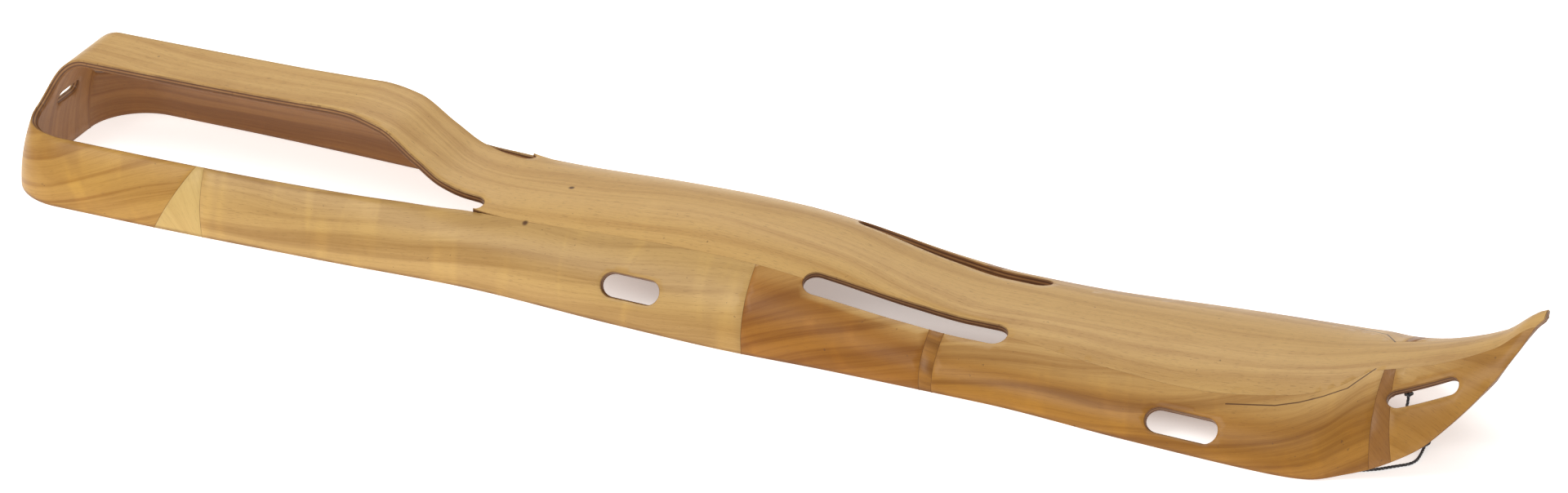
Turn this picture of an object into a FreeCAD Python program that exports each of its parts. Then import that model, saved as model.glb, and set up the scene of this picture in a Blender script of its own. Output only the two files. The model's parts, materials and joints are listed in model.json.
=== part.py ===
import FreeCAD, Part
import math
import os

# Moulded plywood leg splint, convex side up, resting on its rim.
# Millimetres, +Z up, +X toward the pointed heel, Y = 0 is the plane of symmetry.

V = FreeCAD.Vector

# ---- driving dimensions ------------------------------------------------------------
LENGTH = 1067.0                  # overall, the usual 42 inches
HALF = LENGTH / 2.0
PLY = 1.1                        # one veneer
GLUE = 0.03                      # glue line between two veneers
PLY_NAMES = ("face", "cross_a", "core", "cross_b", "lining")
RIM_RELIEF = 0.3                 # the core stands this much prouder at the rim

SPINE_HALF = 25.0                # half width of the raised middle strap
SPINE_TOP = 85.0                 # its height above the floor
END_DEPTH = 41.5                 # length over which the strap bends down to the floor
RAIL_TOP = 42.5                  # upper edge of the side rails
CORNER_Y = 35.0                  # where the flat end wall turns into the corner
CORNER_X = -HALF + 46.0
FILLET = 25.0                    # between the strap and the rail top
TIP_X = -181.0                   # inner tip of the long openings
WAIST_SEAM = 45.0                # shoulder seam distance from the middle at the waist

# ---- stations along the splint: (x, value) ------------------------------------------
HALF_WIDTH = ((-HALF, 80.5), (-434.0, 80.4), (-286.0, 76.7), (-178.0, 72.0), (-67.0, 78.6),
              (10.0, 81.3), (90.0, 78.8), (191.0, 78.0), (293.0, 85.4), (385.0, 89.3),
              (412.0, 87.0), (435.0, 76.5), (462.0, 66.0), (488.0, 59.5), (512.0, 48.0),
              (536.0, 24.0))
CROWN = ((-HALF, 65.0), (-383.0, 65.0), (-262.0, 60.5), (-230.0, 54.0), (-205.0, 50.0),
         (TIP_X, 48.5), (-142.0, 51.0), (-34.0, 58.0), (10.0, 57.0), (54.0, 53.0), (125.0, 39.2),
         (165.0, 34.4), (227.0, 34.3), (328.0, 39.5), (394.0, 43.5), (432.0, 51.0),
         (474.0, 64.6), (505.0, 80.0), (536.0, 103.5))
SQUARENESS = ((-HALF, 2.0), (-262.0, 2.0), (TIP_X, 2.7), (-142.0, 2.4), (-34.0, 2.0), (536.0, 2.0))
SPINE = ((-HALF + END_DEPTH, SPINE_TOP), (-354.0, 86.0), (-290.0, 87.5), (-262.0, 82.5),
         (-235.0, 65.3), (-214.0, 52.8), (-196.0, 48.8), (TIP_X, 48.3), (-150.0, 50.5))
STRAP_HALF = ((-HALF, SPINE_HALF), (-305.0, SPINE_HALF), (-270.0, 28.0), (-235.0, 30.0),
              (-205.0, 31.5), (TIP_X, 31.5))
SEAM = ((-HALF, WAIST_SEAM), (TIP_X, WAIST_SEAM), (54.0, 44.7), (193.0, 40.0), (265.0, 50.0),
        (330.0, 57.0), (385.0, 50.0), (415.0, 37.0), (432.0, 21.0), (470.0, 18.0),
        (505.0, 14.0), (536.0, 9.0))
HEEL_RIM = ((435.0, 4.0), (449.0, 8.0), (462.0, 14.0), (476.0, 23.0), (488.0, 35.0),
            (501.0, 50.0), (512.0, 65.0), (521.5, 80.0), (533.5, 99.0))


# ---- small maths helpers ---------------------------------------------------------------
def through(stations, x):
    """Smooth monotone curve through a list of (x, value) stations."""
    if x <= stations[0][0]:
        return stations[0][1]
    if x >= stations[-1][0]:
        return stations[-1][1]
    i = 0
    while x > stations[i + 1][0]:
        i += 1
    x0, v0 = stations[i]
    x1, v1 = stations[i + 1]
    step = x1 - x0
    m0 = slope_at(stations, i)
    m1 = slope_at(stations, i + 1)
    t = (x - x0) / step
    return ((2 * t ** 3 - 3 * t ** 2 + 1) * v0 + (t ** 3 - 2 * t ** 2 + t) * step * m0
            + (3 * t ** 2 - 2 * t ** 3) * v1 + (t ** 3 - t ** 2) * step * m1)


def slope_at(stations, i):
    """Slope at a station: the weighted mean of its neighbours, limited to stay monotone."""
    if i == 0 or i == len(stations) - 1:
        return 0.0
    ha = stations[i][0] - stations[i - 1][0]
    hb = stations[i + 1][0] - stations[i][0]
    da = (stations[i][1] - stations[i - 1][1]) / ha
    db = (stations[i + 1][1] - stations[i][1]) / hb
    if da * db <= 0.0:
        return 0.0
    return (ha + hb) * 3.0 / ((2 * hb + ha) / da + (hb + 2 * ha) / db)


def smooth(t):
    """Smoothstep from 0 to 1."""
    t = max(0.0, min(1.0, t))
    return t * t * (3.0 - 2.0 * t)


def section_height(x, y):
    """Height of the moulded section at distance y from the middle."""
    n = through(SQUARENESS, x)
    reach = min(1.0, abs(y) / through(HALF_WIDTH, x))
    return through(CROWN, x) * (1.0 - reach ** n) ** (1.0 / n)


def section_reach(x, z):
    """Half width of the moulded section at height z."""
    n = through(SQUARENESS, x)
    rise = min(1.0, abs(z) / through(CROWN, x))
    return through(HALF_WIDTH, x) * (1.0 - rise ** n) ** (1.0 / n)


def end_inset(z):
    """How far the end wall leans in at height z."""
    return END_DEPTH * (1.0 - math.sqrt(max(0.0, 1.0 - (z / SPINE_TOP) ** 2)))


# ---- the back: strap and back as one surface, path parameter a, across b ----------------
END_ROWS = 22
ROW = 11.0
FOOT = -1.5


def back_rows(x0, x1):
    """Path parameters from x0 (None: the foot of the end wall) to x1.

    Below 1 the parameter climbs the end wall, above 1 it is x - x_start + 1.
    """
    rows = []
    start = -HALF + END_DEPTH
    first = start if x0 is None else x0
    if x0 is None:
        rows += [FOOT / SPINE_TOP, 1.5 / SPINE_TOP]
        rows += [math.sin(math.pi / 2.0 * i / END_ROWS) for i in range(1, END_ROWS)]
    count = max(4, int((x1 - first) / ROW))
    rows += [1.0 + first - start + (x1 - first) * i / count for i in range(count + 1)]
    return rows


def back_point(a, y):
    """Outer surface of the strap and the back."""
    start = -HALF + END_DEPTH
    if a <= 1.0:
        z = SPINE_TOP * a
        return V(-HALF + end_inset(z), y, z)
    x = start + (a - 1.0)
    if x >= -160.0:
        return V(x, y, section_height(x, y))
    blend = smooth((x + 215.0) / 55.0)
    return V(x, y, (1.0 - blend) * through(SPINE, x) + blend * section_height(x, y))


def back_half(a):
    """Half width of the back sheet before its openings are cut."""
    x = -HALF + END_DEPTH + (a - 1.0)
    if a <= 1.0:
        return CORNER_Y
    if x < TIP_X:
        return CORNER_Y + (WAIST_SEAM - CORNER_Y) * smooth((x + 260.0) / (TIP_X + 260.0))
    return through(SEAM, x)


def back_spot(a, q):
    return back_point(a, q * back_half(a))


# ---- the sides: path parameter s runs from the end seam along the rail to the heel ------
def fillet_top(y):
    """Upper edge of the end wall beside the strap."""
    if y >= SPINE_HALF + FILLET:
        return RAIL_TOP
    return RAIL_TOP + FILLET - math.sqrt(FILLET ** 2 - (SPINE_HALF + FILLET - y) ** 2)


def side_point(s, z):
    """Outer surface of the side: s < 0 turns the corner (-1 is the end seam), s > 0 is x."""
    if s >= 0.0:
        x = CORNER_X + s
        return V(x, section_reach(x, z), z)
    turn = -s * math.pi / 2.0
    reach = section_reach(CORNER_X, z) - CORNER_Y
    depth = CORNER_X + HALF - end_inset(z)
    return V(CORNER_X - depth * math.sin(turn), CORNER_Y + reach * math.cos(turn), z)


def side_top(s):
    """Height of the upper boundary of the side: rail edge, then shoulder seam."""
    if s < 0.0:
        z = RAIL_TOP
        for _ in range(6):
            z = fillet_top(side_point(s, z).y)
        return z
    x = CORNER_X + s
    if x < TIP_X - 30.0:
        return RAIL_TOP
    seam = section_height(x, through(SEAM, x))
    return RAIL_TOP + (seam - RAIL_TOP) * smooth((x - TIP_X + 30.0) / 30.0)


def side_spot(s, q):
    """q = 0 at the foot, 1 at the upper boundary, spaced by turning angle."""
    top = side_top(s)
    crown = SPINE_TOP if s < 0.0 else through(CROWN, CORNER_X + s)
    crown = max(crown, top + 0.01)
    a0 = math.asin(FOOT / crown)
    a1 = math.asin(min(1.0, top / crown))
    return side_point(s, crown * math.sin(a0 + (a1 - a0) * q))


def side_s(x):
    return x - CORNER_X


# ---- sheets of one ply --------------------------------------------------------------------
def inward(spot, u, w, du, dw):
    """Unit normal pointing inward (to the hollow side)."""
    pu = spot(u + du, w) - spot(u - du, w)
    pw = spot(u, w + dw) - spot(u, w - dw)
    n = pu.cross(pw)
    n.normalize()
    return n


def sheet(outer, inner):
    """Closed solid between two matching grids of points."""
    faces = []
    for grid in (outer, inner):
        surface = Part.BSplineSurface()
        surface.interpolate(grid)
        faces.append(surface.toShape())
    walls = [Part.makeRuledSurface(faces[0].Edges[i], faces[1].Edges[i]) for i in range(4)]
    solid = Part.makeSolid(Part.makeShell(faces + walls))
    if solid.Volume < 0:
        solid.reverse()
    return solid


def ply_range(k):
    """Depth of the outer and inner side of ply k below the outer surface."""
    return k * PLY + GLUE / 2.0, (k + 1) * PLY - GLUE / 2.0


def back_sheet(k, x0=None, x1=HALF + 2.5):
    """The back of ply k from x0 (None: the foot of the end wall) to x1."""
    d0, d1 = ply_range(k)
    rows = back_rows(x0, x1)
    across = [-1.0 + 2.0 * j / 24 for j in range(25)]
    grids = ([], [])
    for a in rows:
        for g in grids:
            g.append([])
        for q in across:
            p = back_spot(a, q)
            step = 0.004 if a < 0.99 else 0.4
            base = a if a < 0.99 else max(a, 1.41)
            n = inward(back_spot, base, q, step, 0.01)
            if n.dot(V(1.0, 0.0, -2.0)) < 0:
                n = n * -1.0
            for g, d in zip(grids, (d0, d1)):
                g[-1].append(p + n * d)
    return sheet(grids[0], grids[1])


def side_sheet(k, left, right, rows):
    """Near or far side of ply k between two boundary curves left(q), right(q)."""
    d0, d1 = ply_range(k)
    across = [j / 14.0 for j in range(15)]
    grids = ([], [])
    for i in range(rows + 1):
        for g in grids:
            g.append([])
        for q in across:
            f = i / rows
            s = stretch(left(q), right(q), f)
            p = side_spot(s, q)
            step = 0.01 if s < 0 else 0.4
            base = -0.02 if -0.02 < s < 0 else s
            base = 0.5 if 0 <= base < 0.5 else base
            n = inward(side_spot, base, q, step, 0.01)
            if n.dot(V(0.3 if s < 0 else 0.0, -1.0, 0.0)) < 0:
                n = n * -1.0
            for g, d in zip(grids, (d0, d1)):
                g[-1].append(p + n * d)
    return sheet(grids[0], grids[1])


CORNER_RUN = 68.0
SIDE_ROW = 10.2


def stretch(left, right, f):
    """Even spacing by length along a path whose negative part is the corner."""
    a = left * CORNER_RUN if left < 0 else left
    b = right * CORNER_RUN if right < 0 else right
    run = a + (b - a) * f
    return run / CORNER_RUN if run < 0 else run


# ---- cutters ---------------------------------------------------------------------------------
def prism(points, axis):
    """Closed straight-sided outline pushed along axis."""
    return Part.Face(Part.makePolygon(points + [points[0]])).extrude(axis)


def rim_cutter(z0):
    """Everything under the rim: flat along the floor, then the rising heel edge."""
    curve = Part.BSplineCurve()
    pts = [V(400.0, -150.0, z0), V(418.0, -150.0, z0 + 1.0)]
    pts += [V(x, -150.0, z) for x, z in HEEL_RIM]
    curve.interpolate(pts)
    last = pts[-1]
    line = Part.makePolygon([last, V(HALF, -150.0, 140.0), V(640.0, -150.0, 140.0),
                             V(640.0, -150.0, -60.0), V(-640.0, -150.0, -60.0),
                             V(-640.0, -150.0, z0), pts[0]])
    wire = Part.Wire([curve.toShape()] + line.Edges)
    return Part.Face(wire).extrude(V(0.0, 300.0, 0.0))


def opening_cutters():
    """The two long openings beside the strap."""
    tools = []
    for side in (-1.0, 1.0):
        y0, y1 = through(STRAP_HALF, TIP_X), WAIST_SEAM + 0.5
        r = (y1 - y0) / 2.0
        start = -HALF + END_DEPTH - 12.0
        edge = [V(start, side * SPINE_HALF, -10.0), V(-400.0, side * SPINE_HALF, -10.0)]
        edge += [V(x, side * through(STRAP_HALF, x), -10.0)
                 for x in (-305.0, -288.0, -270.0, -252.0, -235.0, -220.0, -205.0)]
        b = V(TIP_X - r, side * y0, -10.0)
        curve = Part.BSplineCurve()
        curve.interpolate(edge[1:] + [b])
        tip = V(TIP_X, side * (y0 + y1) / 2.0, -10.0)
        c = V(TIP_X - r, side * y1, -10.0)
        d = V(-240.0, side * 62.0, -10.0)
        e = V(start, side * 62.0, -10.0)
        outline = Part.Wire([Part.makeLine(edge[0], edge[1]), curve.toShape(),
                             Part.Arc(b, tip, c).toShape(), Part.makeLine(c, d),
                             Part.makeLine(d, e), Part.makeLine(e, edge[0])])
        tools.append(Part.Face(outline).extrude(V(0.0, 0.0, 130.0)))
        top = RAIL_TOP + FILLET
        p0 = V(-600.0, side * SPINE_HALF, top)
        p1 = V(-600.0, side * (SPINE_HALF + FILLET), RAIL_TOP)
        k = FILLET * (1.0 - math.sqrt(0.5))
        pm = V(-600.0, side * (SPINE_HALF + k), RAIL_TOP + k)
        p2 = V(-600.0, side * 75.0, RAIL_TOP)
        p3 = V(-600.0, side * 75.0, 130.0)
        p4 = V(-600.0, side * SPINE_HALF, 130.0)
        outline = Part.Wire([Part.Arc(p0, pm, p1).toShape(), Part.makeLine(p1, p2),
                             Part.makeLine(p2, p3), Part.makeLine(p3, p4), Part.makeLine(p4, p0)])
        tools.append(Part.Face(outline).extrude(V(600.0 + start + 0.5, 0.0, 0.0)))
    return tools


def slot_tool(a, b, width, out, reach=40.0):
    """A round-ended slot from end a to end b, cut along out, half the reach each way."""
    out = V(out)
    out.normalize()
    along = b - a
    along = along - out * along.dot(out)
    length = along.Length
    along.normalize()
    across = out.cross(along)
    r = width / 2.0
    mid = (a + b) * 0.5 - out * (reach / 2.0)
    c0 = mid - along * (length / 2.0 - r)
    c1 = mid + along * (length / 2.0 - r)
    wire = Part.Wire([
        Part.makeLine(c0 + across * r, c1 + across * r),
        Part.Arc(c1 + across * r, c1 + along * r, c1 - across * r).toShape(),
        Part.makeLine(c1 - across * r, c0 - across * r),
        Part.Arc(c0 - across * r, c0 - along * r, c0 + across * r).toShape()])
    return Part.Face(wire).extrude(out * reach)


def slot_tools():
    """All strap slots: two knee, four small side, two heel, one at the end."""
    tools = []
    for side in (-1.0, 1.0):
        knee = (V(54.0, side * 44.7, 41.9), V(193.0, side * 40.0, 32.0))
        tools.append(slot_tool(knee[0], knee[1], 18.0, V(0.0, side * 0.36, 0.93)))
        tools.append(slot_tool(V(-79.5, side * 70.5, 25.0), V(-37.0, side * 71.5, 25.0), 16.8,
                               V(0.0, side * 0.84, 0.54)))
        tools.append(slot_tool(V(302.0, side * 81.0, 17.5), V(351.0, side * 83.0, 17.5), 17.0,
                               V(0.0, side * 0.83, 0.56)))
        tools.append(slot_tool(V(448.0, side * 44.0, 42.5), V(489.5, side * 33.0, 59.5), 13.0,
                               V(-0.25, side * 0.55, 0.8)))
    tools.append(slot_tool(V(-527.0, -14.0, 46.5), V(-527.0, 14.0, 46.5), 9.0,
                           V(-1.0, 0.0, 0.15), 24.0))
    return tools


def carve(solid, tools):
    box = solid.BoundBox
    near = [t for t in tools if box.intersect(t.BoundBox)]
    result = solid.cut(near)
    solids = sorted(result.Solids, key=lambda one: one.Volume)
    return solids[-1]


def save(node, shape):
    shape.exportStep("parts/%s.step" % node)
    box = shape.BoundBox
    print("%-22s valid %s  vol %9.1f  faces %3d  x %7.1f %7.1f  y %6.1f %6.1f  z %6.2f %6.2f" % (
        node, shape.isValid(), shape.Volume, len(shape.Faces), box.XMin, box.XMax,
        box.YMin, box.YMax, box.ZMin, box.ZMax))


def mirrored(shape):
    return shape.mirror(V(0.0, 0.0, 0.0), V(0.0, 1.0, 0.0))


# ---- veneers of the outer face: (name, left x at the rim, left x at the top) --------------
FACE_JOINTS = (("rail", None, None), ("insert", -410.0, -386.0), ("thigh", -373.0, -380.0),
               ("calf", 26.0, 20.0), ("strip", 149.0, 143.0), ("foot", 157.5, 153.0),
               ("gore", 448.0, 438.0), ("toe", 462.0, 445.0))
HEEL_END = 536.0

# ---- the core of the back is laid in five lengths: (name, start, end) ---------------------
CORE_LENGTHS = (("end", None, -478.0), ("strap", -478.0, -222.0), ("neck", -222.0, 40.0),
                ("knee", 40.0, 205.0), ("heel", 205.0, HEEL_END))


def boundary(low, high):
    """Straight joint from x = low at the rim to x = high at the upper boundary."""
    if low is None:
        return lambda q: -1.0
    return lambda q: side_s(low + (high - low) * q)


def side_pieces(k, joints):
    """Solids of one side of ply k between the given joints, far side."""
    pieces = []
    for i, (name, low, high) in enumerate(joints):
        last = i == len(joints) - 1
        nlow, nhigh = (HEEL_END, HEEL_END) if last else joints[i + 1][1:]
        run = nlow - (-HALF - 20.0 if low is None else low)
        rows = max(4, int(run / SIDE_ROW))
        pieces.append((name, side_sheet(k, boundary(low, high), boundary(nlow, nhigh), rows)))
    return pieces


# ---- the loose cord under the heel -----------------------------------------------------------
CORD_R = 1.0
CORD_ROUTE = ((457.2, -30.0, 45.5), (458.5, -32.0, 34.0), (452.0, -37.0, 22.0),
              (443.0, -44.0, 10.0), (431.0, -47.0, 3.5), (425.0, -57.0, 1.1),
              (434.0, -66.0, 1.1), (448.0, -58.0, 1.1), (457.0, -49.5, 1.1),
              (467.0, -41.0, 1.1), (467.5, -28.0, 1.3), (466.5, -14.0, 4.1))


def cord_wire(points):
    """Straight runs joined by tangent arcs; prints every bend radius."""
    pts = [V(*p) for p in points]
    edges = []
    at = pts[0]
    for i in range(1, len(pts) - 1):
        back = pts[i - 1] - pts[i]
        ahead = pts[i + 1] - pts[i]
        shorter = min(back.Length, ahead.Length)
        back.normalize()
        ahead.normalize()
        half_turn = (math.pi - back.getAngle(ahead)) / 2.0
        trim = 0.45 * shorter
        radius = trim / math.tan(half_turn)
        start = pts[i] + back * trim
        end = pts[i] + ahead * trim
        middle = back + ahead
        middle.normalize()
        gap = radius / math.cos(half_turn) - radius
        edges.append(Part.makeLine(at, start))
        edges.append(Part.Arc(start, pts[i] + middle * gap, end).toShape())
        at = end
        print("cord bend %d radius %.1f" % (i, radius))
    edges.append(Part.makeLine(at, pts[-1]))
    return Part.Wire(edges)


def cord():
    wire = cord_wire(CORD_ROUTE)
    start = V(*CORD_ROUTE[0])
    direction = V(*CORD_ROUTE[1]) - start
    circle = Part.Wire(Part.makeCircle(CORD_R, start, direction))
    tube = wire.makePipeShell([circle], True, True)
    print("cord length %.1f, volume %.2f against %.2f" % (
        wire.Length, tube.Volume, math.pi * CORD_R ** 2 * wire.Length))
    return tube


def knot(near_end, inner):
    """A tight turn of cord round the cord's end."""
    at = V(*near_end)
    direction = at - V(*inner)
    direction.normalize()
    return Part.makeTorus(2.3, 1.2, at - direction * 2.6, direction)


def main():
    os.makedirs("parts", exist_ok=True)
    openings = opening_cutters()
    slots = slot_tools()
    whole = (("side", None, None),)
    for k, name in enumerate(PLY_NAMES):
        rim = rim_cutter(0.0 if name == "core" else RIM_RELIEF)
        for piece, x0, x1 in (CORE_LENGTHS if name == "core" else (("back", None, HALF + 2.5),)):
            back = carve(back_sheet(k, x0, x1), openings + slots + [rim])
            save("%s_%s" % (name, piece), back)
        joints = FACE_JOINTS if name == "face" else whole
        for piece, solid in side_pieces(k, joints):
            side = carve(solid, slots + [rim])
            save("%s_%s_far" % (name, piece), side)
            save("%s_%s_near" % (name, piece), mirrored(side))
    save("cord", cord())
    save("cord_knot_low", knot(CORD_ROUTE[-1], CORD_ROUTE[-2]))
    save("cord_knot_top", knot(CORD_ROUTE[0], CORD_ROUTE[1]))


main()
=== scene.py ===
"""Moulded plywood leg splint, convex side up: veneers, ply edges, seams and the loose cord.

Lengths in the form code are millimetres; meshes are written in metres, in the frame of the
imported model: +X toward the pointed heel, +Z up, the rim on the floor at z = 0.
"""

import json
import logging
import math
from dataclasses import dataclass, field
from enum import Enum
from typing import Callable, Dict, List, Optional, Sequence, Tuple

import bpy
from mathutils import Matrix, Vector, kdtree
from mathutils.geometry import delaunay_2d_cdt

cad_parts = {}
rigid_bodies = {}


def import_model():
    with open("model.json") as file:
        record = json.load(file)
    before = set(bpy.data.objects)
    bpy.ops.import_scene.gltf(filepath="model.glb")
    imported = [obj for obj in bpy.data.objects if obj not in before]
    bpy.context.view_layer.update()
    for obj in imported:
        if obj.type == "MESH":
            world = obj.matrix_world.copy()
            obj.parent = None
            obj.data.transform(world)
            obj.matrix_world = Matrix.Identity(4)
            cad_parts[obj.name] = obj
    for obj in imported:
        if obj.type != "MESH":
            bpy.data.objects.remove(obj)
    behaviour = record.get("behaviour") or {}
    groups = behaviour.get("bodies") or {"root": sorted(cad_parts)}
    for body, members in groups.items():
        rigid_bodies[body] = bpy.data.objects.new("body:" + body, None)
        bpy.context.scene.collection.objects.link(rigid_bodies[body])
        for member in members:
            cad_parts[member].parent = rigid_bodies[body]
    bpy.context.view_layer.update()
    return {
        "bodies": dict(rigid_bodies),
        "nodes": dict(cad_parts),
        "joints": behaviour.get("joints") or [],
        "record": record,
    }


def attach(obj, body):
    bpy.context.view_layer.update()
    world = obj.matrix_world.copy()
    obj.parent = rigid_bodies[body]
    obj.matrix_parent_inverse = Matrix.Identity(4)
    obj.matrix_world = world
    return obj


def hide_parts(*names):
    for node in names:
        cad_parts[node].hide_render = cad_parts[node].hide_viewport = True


logging.basicConfig(level=logging.INFO, format="%(message)s")
LOG = logging.getLogger("splint")

Station = Tuple[float, float]
Flat = Tuple[float, float]
MM = 0.001


class Side(Enum):
    """Which side of the middle plane a piece is on."""

    FAR = 1
    NEAR = -1


class Ply(Enum):
    """The five veneers of the moulding, outside first."""

    FACE = 0
    CROSS_A = 1
    CORE = 2
    CROSS_B = 3
    LINING = 4


# ---- small maths ---------------------------------------------------------------------------
def slope_at(stations: Sequence[Station], i: int) -> float:
    """Slope at a station, limited so that the curve stays monotone."""
    if i == 0 or i == len(stations) - 1:
        return 0.0
    ha = stations[i][0] - stations[i - 1][0]
    hb = stations[i + 1][0] - stations[i][0]
    da = (stations[i][1] - stations[i - 1][1]) / ha
    db = (stations[i + 1][1] - stations[i][1]) / hb
    if da * db <= 0.0:
        return 0.0
    return (ha + hb) * 3.0 / ((2 * hb + ha) / da + (hb + 2 * ha) / db)


def through(stations: Sequence[Station], x: float) -> float:
    """Value at x of the smooth monotone curve through the stations."""
    if x <= stations[0][0]:
        return stations[0][1]
    if x >= stations[-1][0]:
        return stations[-1][1]
    i = 0
    while x > stations[i + 1][0]:
        i += 1
    x0, v0 = stations[i]
    x1, v1 = stations[i + 1]
    step = x1 - x0
    t = (x - x0) / step
    m0 = slope_at(stations, i) * step
    m1 = slope_at(stations, i + 1) * step
    start = (2 * t ** 3 - 3 * t ** 2 + 1) * v0 + (t ** 3 - 2 * t ** 2 + t) * m0
    end = (3 * t ** 2 - 2 * t ** 3) * v1 + (t ** 3 - t ** 2) * m1
    return start + end


def smooth(t: float) -> float:
    """Smoothstep from 0 to 1."""
    t = max(0.0, min(1.0, t))
    return t * t * (3.0 - 2.0 * t)


def inside(point: Flat, loop: Sequence[Flat]) -> bool:
    """True if a flat point lies inside a closed loop."""
    x, y = point
    odd = False
    j = len(loop) - 1
    for i, (xi, yi) in enumerate(loop):
        xj, yj = loop[j]
        if (yi > y) != (yj > y) and x < (xj - xi) * (y - yi) / (yj - yi) + xi:
            odd = not odd
        j = i
    return odd


def spaced(points: Sequence[Flat], step: float) -> List[Flat]:
    """The same open polyline with no run longer than step."""
    out: List[Flat] = []
    for a, b in zip(points, points[1:]):
        n = max(1, int(math.ceil(math.dist(a, b) / step)))
        out += [(a[0] + (b[0] - a[0]) * i / n, a[1] + (b[1] - a[1]) * i / n) for i in range(n)]
    out.append(points[-1])
    return out


# ---- the moulded form ------------------------------------------------------------------------
@dataclass(frozen=True)
class Form:
    """Outer surface of the splint, as the press tool gives it."""

    length: float = 1067.0
    ply: float = 1.1
    glue: float = 0.03
    spine_half: float = 25.0
    spine_top: float = 85.0
    end_depth: float = 41.5
    rail_top: float = 42.5
    corner_y: float = 35.0
    corner_in: float = 46.0
    fillet: float = 25.0
    tip_x: float = -181.0
    waist_seam: float = 45.0
    foot: float = 0.05
    end_run: float = 102.0
    corner_run: float = 68.0
    side_girth: float = 60.0
    half_width: Tuple[Station, ...] = (
        (-533.5, 80.5), (-434.0, 80.4), (-286.0, 76.7), (-178.0, 72.0), (-67.0, 78.6),
        (10.0, 81.3), (90.0, 78.8), (191.0, 78.0), (293.0, 85.4), (385.0, 89.3), (412.0, 87.0),
        (435.0, 76.5), (462.0, 66.0), (488.0, 59.5), (512.0, 48.0), (536.0, 24.0))
    crown: Tuple[Station, ...] = (
        (-533.5, 65.0), (-383.0, 65.0), (-262.0, 60.5), (-230.0, 54.0), (-205.0, 50.0),
        (-181.0, 48.5), (-142.0, 51.0), (-34.0, 58.0), (10.0, 57.0), (54.0, 53.0), (125.0, 39.2),
        (165.0, 34.4),
        (227.0, 34.3), (328.0, 39.5), (394.0, 43.5), (432.0, 51.0), (474.0, 64.6),
        (505.0, 80.0), (536.0, 103.5))
    squareness: Tuple[Station, ...] = (
        (-533.5, 2.0), (-262.0, 2.0), (-181.0, 2.7), (-142.0, 2.4), (-34.0, 2.0), (536.0, 2.0))
    spine: Tuple[Station, ...] = (
        (-492.0, 85.0), (-354.0, 86.0), (-290.0, 87.5), (-262.0, 82.5), (-235.0, 65.3),
        (-214.0, 52.8), (-196.0, 48.8), (-181.0, 48.3), (-150.0, 50.5))
    strap_half: Tuple[Station, ...] = (
        (-533.5, 25.0), (-305.0, 25.0), (-270.0, 28.0), (-235.0, 30.0), (-205.0, 31.5),
        (-181.0, 31.5))
    seam: Tuple[Station, ...] = (
        (-533.5, 45.0), (-181.0, 45.0), (54.0, 44.7), (193.0, 40.0), (265.0, 50.0),
        (330.0, 57.0), (385.0, 50.0), (415.0, 37.0), (432.0, 21.0), (470.0, 18.0),
        (505.0, 14.0), (536.0, 9.0))
    heel_rim: Tuple[Station, ...] = (
        (400.0, 0.0), (418.0, 1.0), (435.0, 4.0), (449.0, 8.0), (462.0, 14.0), (476.0, 23.0),
        (488.0, 35.0), (501.0, 50.0), (512.0, 65.0), (521.5, 80.0), (533.5, 99.0))

    @property
    def half(self) -> float:
        """Half the overall length."""
        return self.length / 2.0

    @property
    def strap_start(self) -> float:
        """Where the strap runs level, after its bend at the end."""
        return -self.half + self.end_depth

    @property
    def corner_x(self) -> float:
        """Where the side turns into the corner."""
        return -self.half + self.corner_in

    def section_height(self, x: float, y: float) -> float:
        """Height of the moulded section at distance y from the middle."""
        n = through(self.squareness, x)
        reach = min(1.0, abs(y) / through(self.half_width, x))
        return through(self.crown, x) * (1.0 - reach ** n) ** (1.0 / n)

    def section_reach(self, x: float, z: float) -> float:
        """Half width of the moulded section at height z."""
        n = through(self.squareness, x)
        rise = min(1.0, abs(z) / through(self.crown, x))
        return through(self.half_width, x) * (1.0 - rise ** n) ** (1.0 / n)

    def end_inset(self, z: float) -> float:
        """How far the end wall leans in at height z."""
        return self.end_depth * (1.0 - math.sqrt(max(0.0, 1.0 - (z / self.spine_top) ** 2)))

    def end_height(self, u: float) -> float:
        """Height on the end wall for a path length u below 0."""
        return self.spine_top * math.sin((u / self.end_run + 1.0) * math.pi / 2.0)

    def end_path(self, z: float) -> float:
        """Path length u on the end wall at height z."""
        turn = math.asin(max(-1.0, min(1.0, z / self.spine_top)))
        return self.end_run * (turn * 2.0 / math.pi - 1.0)

    def back(self, u: float, y: float) -> Vector:
        """Point of the end wall, strap or back at path length u and distance y."""
        if u < 0.0:
            z = self.end_height(u)
            turn = (u / self.end_run + 1.0) * math.pi / 2.0
            return Vector((-self.half + self.end_depth * (1.0 - math.cos(turn)), y, z))
        x = self.strap_start + u
        if x >= -160.0:
            return Vector((x, y, self.section_height(x, y)))
        blend = smooth((x + 215.0) / 55.0)
        level = (1.0 - blend) * through(self.spine, x)
        if blend > 0.0:
            level += blend * self.section_height(x, y)
        return Vector((x, y, level))

    def back_half(self, u: float) -> float:
        """Half width of the back sheet at path length u."""
        x = self.strap_start + u
        if x < self.tip_x:
            widen = smooth((x + 260.0) / (self.tip_x + 260.0))
            return self.corner_y + (self.waist_seam - self.corner_y) * widen
        return through(self.seam, x)

    def fillet_top(self, y: float) -> float:
        """Upper edge of the end wall beside the strap."""
        if y >= self.spine_half + self.fillet:
            return self.rail_top
        run = self.spine_half + self.fillet - y
        return self.rail_top + self.fillet - math.sqrt(max(0.0, self.fillet ** 2 - run ** 2))

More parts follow.
